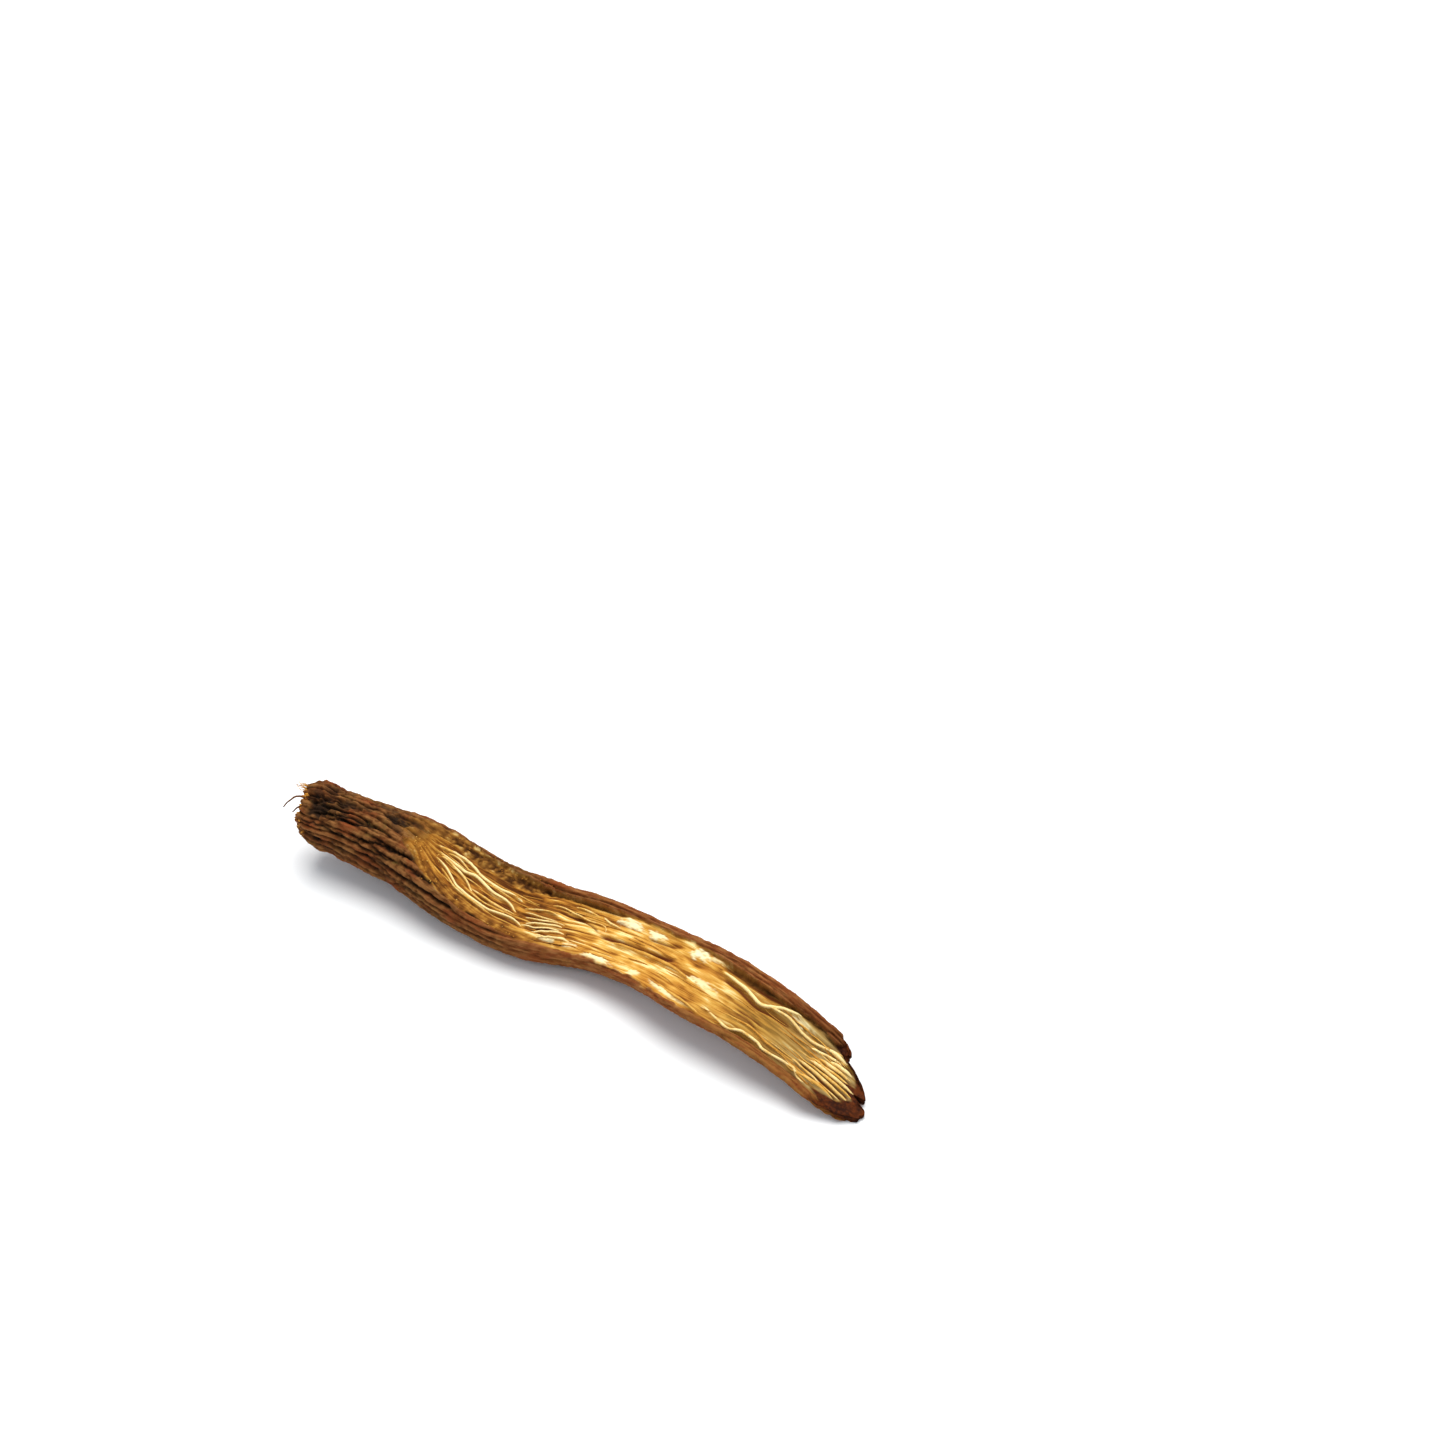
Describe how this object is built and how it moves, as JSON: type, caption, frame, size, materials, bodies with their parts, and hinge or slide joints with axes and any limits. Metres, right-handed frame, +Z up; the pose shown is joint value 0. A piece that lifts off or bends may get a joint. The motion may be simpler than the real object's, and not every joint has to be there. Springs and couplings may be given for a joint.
{
  "type": "dried red sage root slice",
  "caption": "Lengthwise slice of a dried red sage root: a round bark-covered crown end that runs into a long, dished, fibrous cut face and a thin ragged tip.",
  "frame": {"origin": "on the surface that the slice lies on, under the middle of its bounding box", "axes": "+X along the slice from the round crown end to the ragged tip, +Z up out of the cut face, +Y towards the rim that lies higher"},
  "size_m": [0.0757, 0.012, 0.0089],
  "materials": {
    "dried_root": "dry and matte: dark umber ridged bark, golden fibrous cut face"
  },
  "bodies": {
    "root": {"root_slice": "dried_root"}
  },
  "joints": []
}
